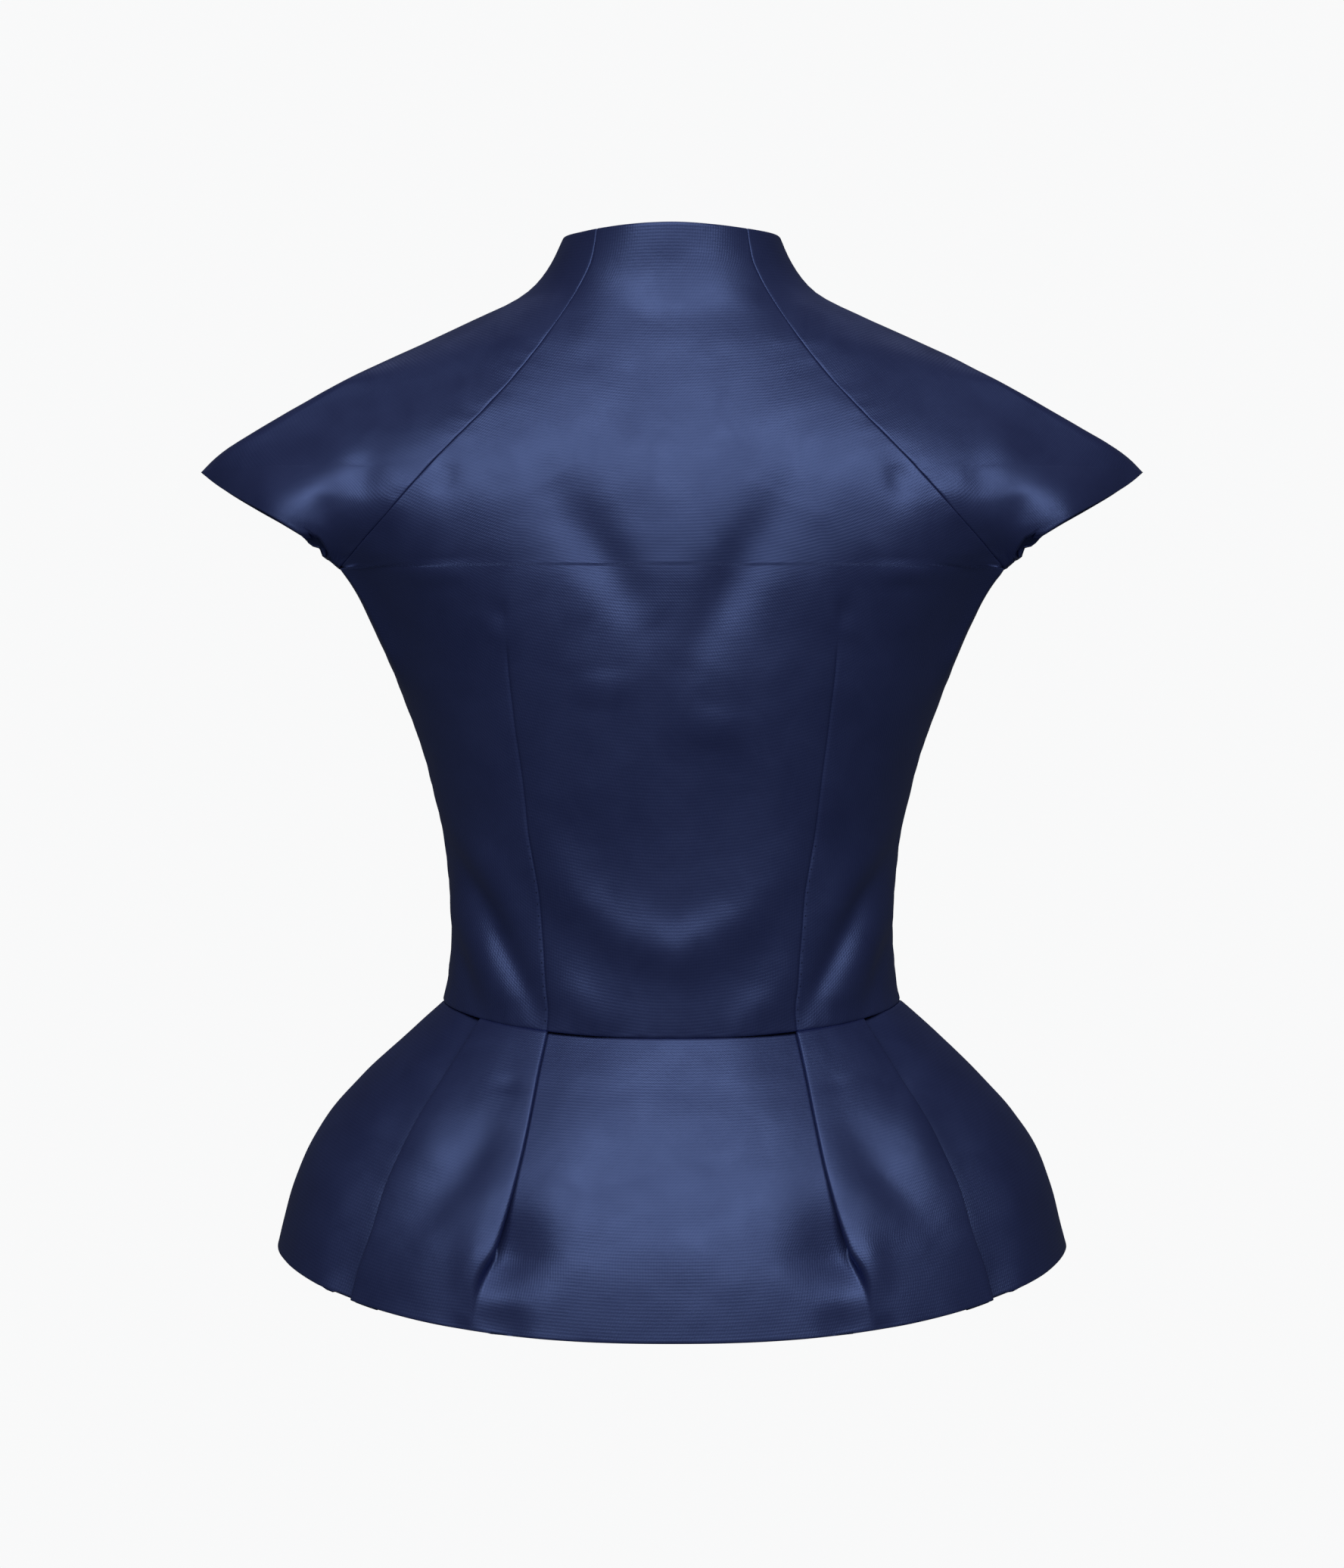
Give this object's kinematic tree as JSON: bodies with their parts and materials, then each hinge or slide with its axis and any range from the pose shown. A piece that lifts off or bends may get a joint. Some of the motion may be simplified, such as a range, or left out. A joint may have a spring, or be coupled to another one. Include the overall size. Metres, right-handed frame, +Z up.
{
  "type": "fitted satin top with a pleated peplum",
  "caption": "Fitted satin top with a funnel neck, raglan cap sleeves and a flared, pleated peplum, hollow as it is worn.",
  "frame": {"origin": "middle of the neck where the shoulders start, which is where the wearer holds the garment up", "axes": "+Z up along the wearer's body, the garment's back faces -Y and its front faces +Y, +X to the right as seen from behind"},
  "size_m": [0.5338, 0.291, 0.6162],
  "materials": {
    "satin": "navy duchesse satin with a fine slanting weave and a soft sheen",
    "backing": "navy satin, the reverse side, duller"
  },
  "bodies": {
    "root": {"back_bodice": "satin", "front_bodice_left": "satin", "front_bodice_right": "satin", "front_underlap": "backing", "sleeve_back_left": "satin", "sleeve_back_right": "satin", "sleeve_front_left": "satin", "sleeve_front_right": "satin", "peplum_back": "satin", "peplum_front_left": "satin", "peplum_front_right": "satin", "peplum_underlap": "backing"}
  },
  "joints": []
}
